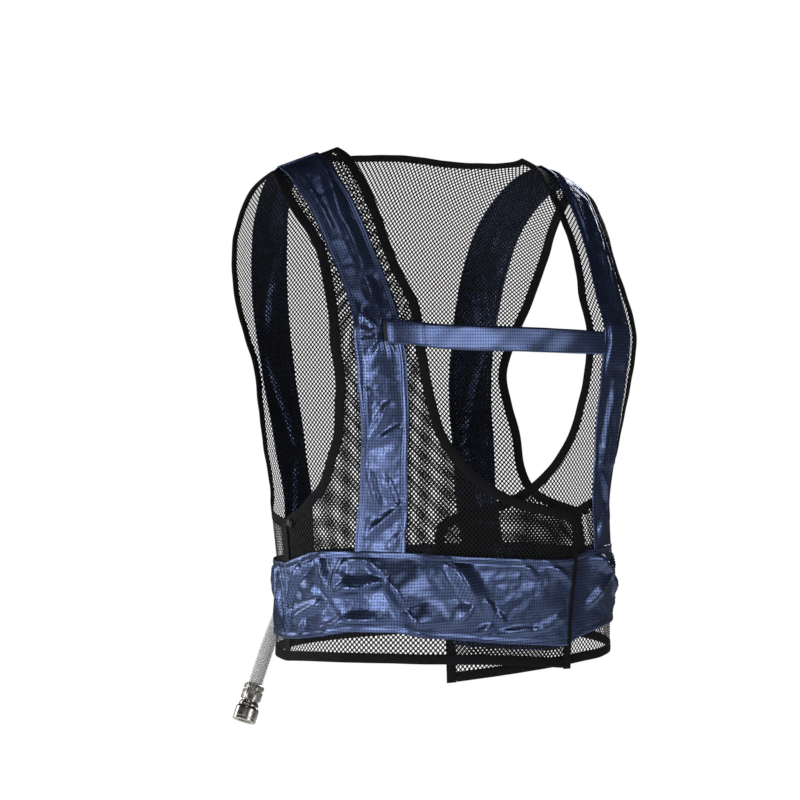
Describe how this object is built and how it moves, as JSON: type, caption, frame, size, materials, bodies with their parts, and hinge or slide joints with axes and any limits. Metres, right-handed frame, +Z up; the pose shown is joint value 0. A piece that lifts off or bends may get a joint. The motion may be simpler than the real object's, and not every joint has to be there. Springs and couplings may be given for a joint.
{
  "type": "air-cooled work vest",
  "caption": "Sleeveless mesh work vest with blue air-channel bands, chest strap, overlapping front closure and a short air hose ending in a quick coupler.",
  "frame": {"origin": "between the shoulders where the vest sits on its wearer, level with the outer third of the shoulder line", "axes": "+Z up along the upright wearer, -Y out of the chest, -X to the wearer's right"},
  "size_m": [0.3634, 0.279, 0.5552],
  "materials": {
    "mesh_net": "open knitted net",
    "binding_tape": "ribbed tape",
    "blue_fabric": "satin dotted weave",
    "hook_and_loop": "matt pile",
    "black_plastic": "matt",
    "black_rubber": "matt",
    "clear_hose": "clear with white braid",
    "nickel_metal": "bright nickel plate"
  },
  "bodies": {
    "root": {"net_back": "mesh_net", "net_front_right": "mesh_net", "net_front_left": "mesh_net", "tape_armhole_right": "binding_tape", "tape_armhole_left": "binding_tape", "tape_front_edge_right": "binding_tape", "tape_front_edge_left": "binding_tape", "tape_back_neck": "binding_tape", "tape_hem": "binding_tape", "band_shoulder_right": "blue_fabric", "band_shoulder_left": "blue_fabric", "band_back_right": "blue_fabric", "band_back_left": "blue_fabric", "band_waist_right": "blue_fabric", "band_waist_left": "blue_fabric", "band_waist_back": "blue_fabric", "strap_chest": "blue_fabric", "patch_loop": "hook_and_loop", "patch_hook": "hook_and_loop", "stud_right": "black_plastic", "stud_left": "black_plastic", "hose_cuff": "black_rubber", "hose": "clear_hose", "hose_nut": "nickel_metal", "coupler_body": "nickel_metal"}
  },
  "joints": []
}
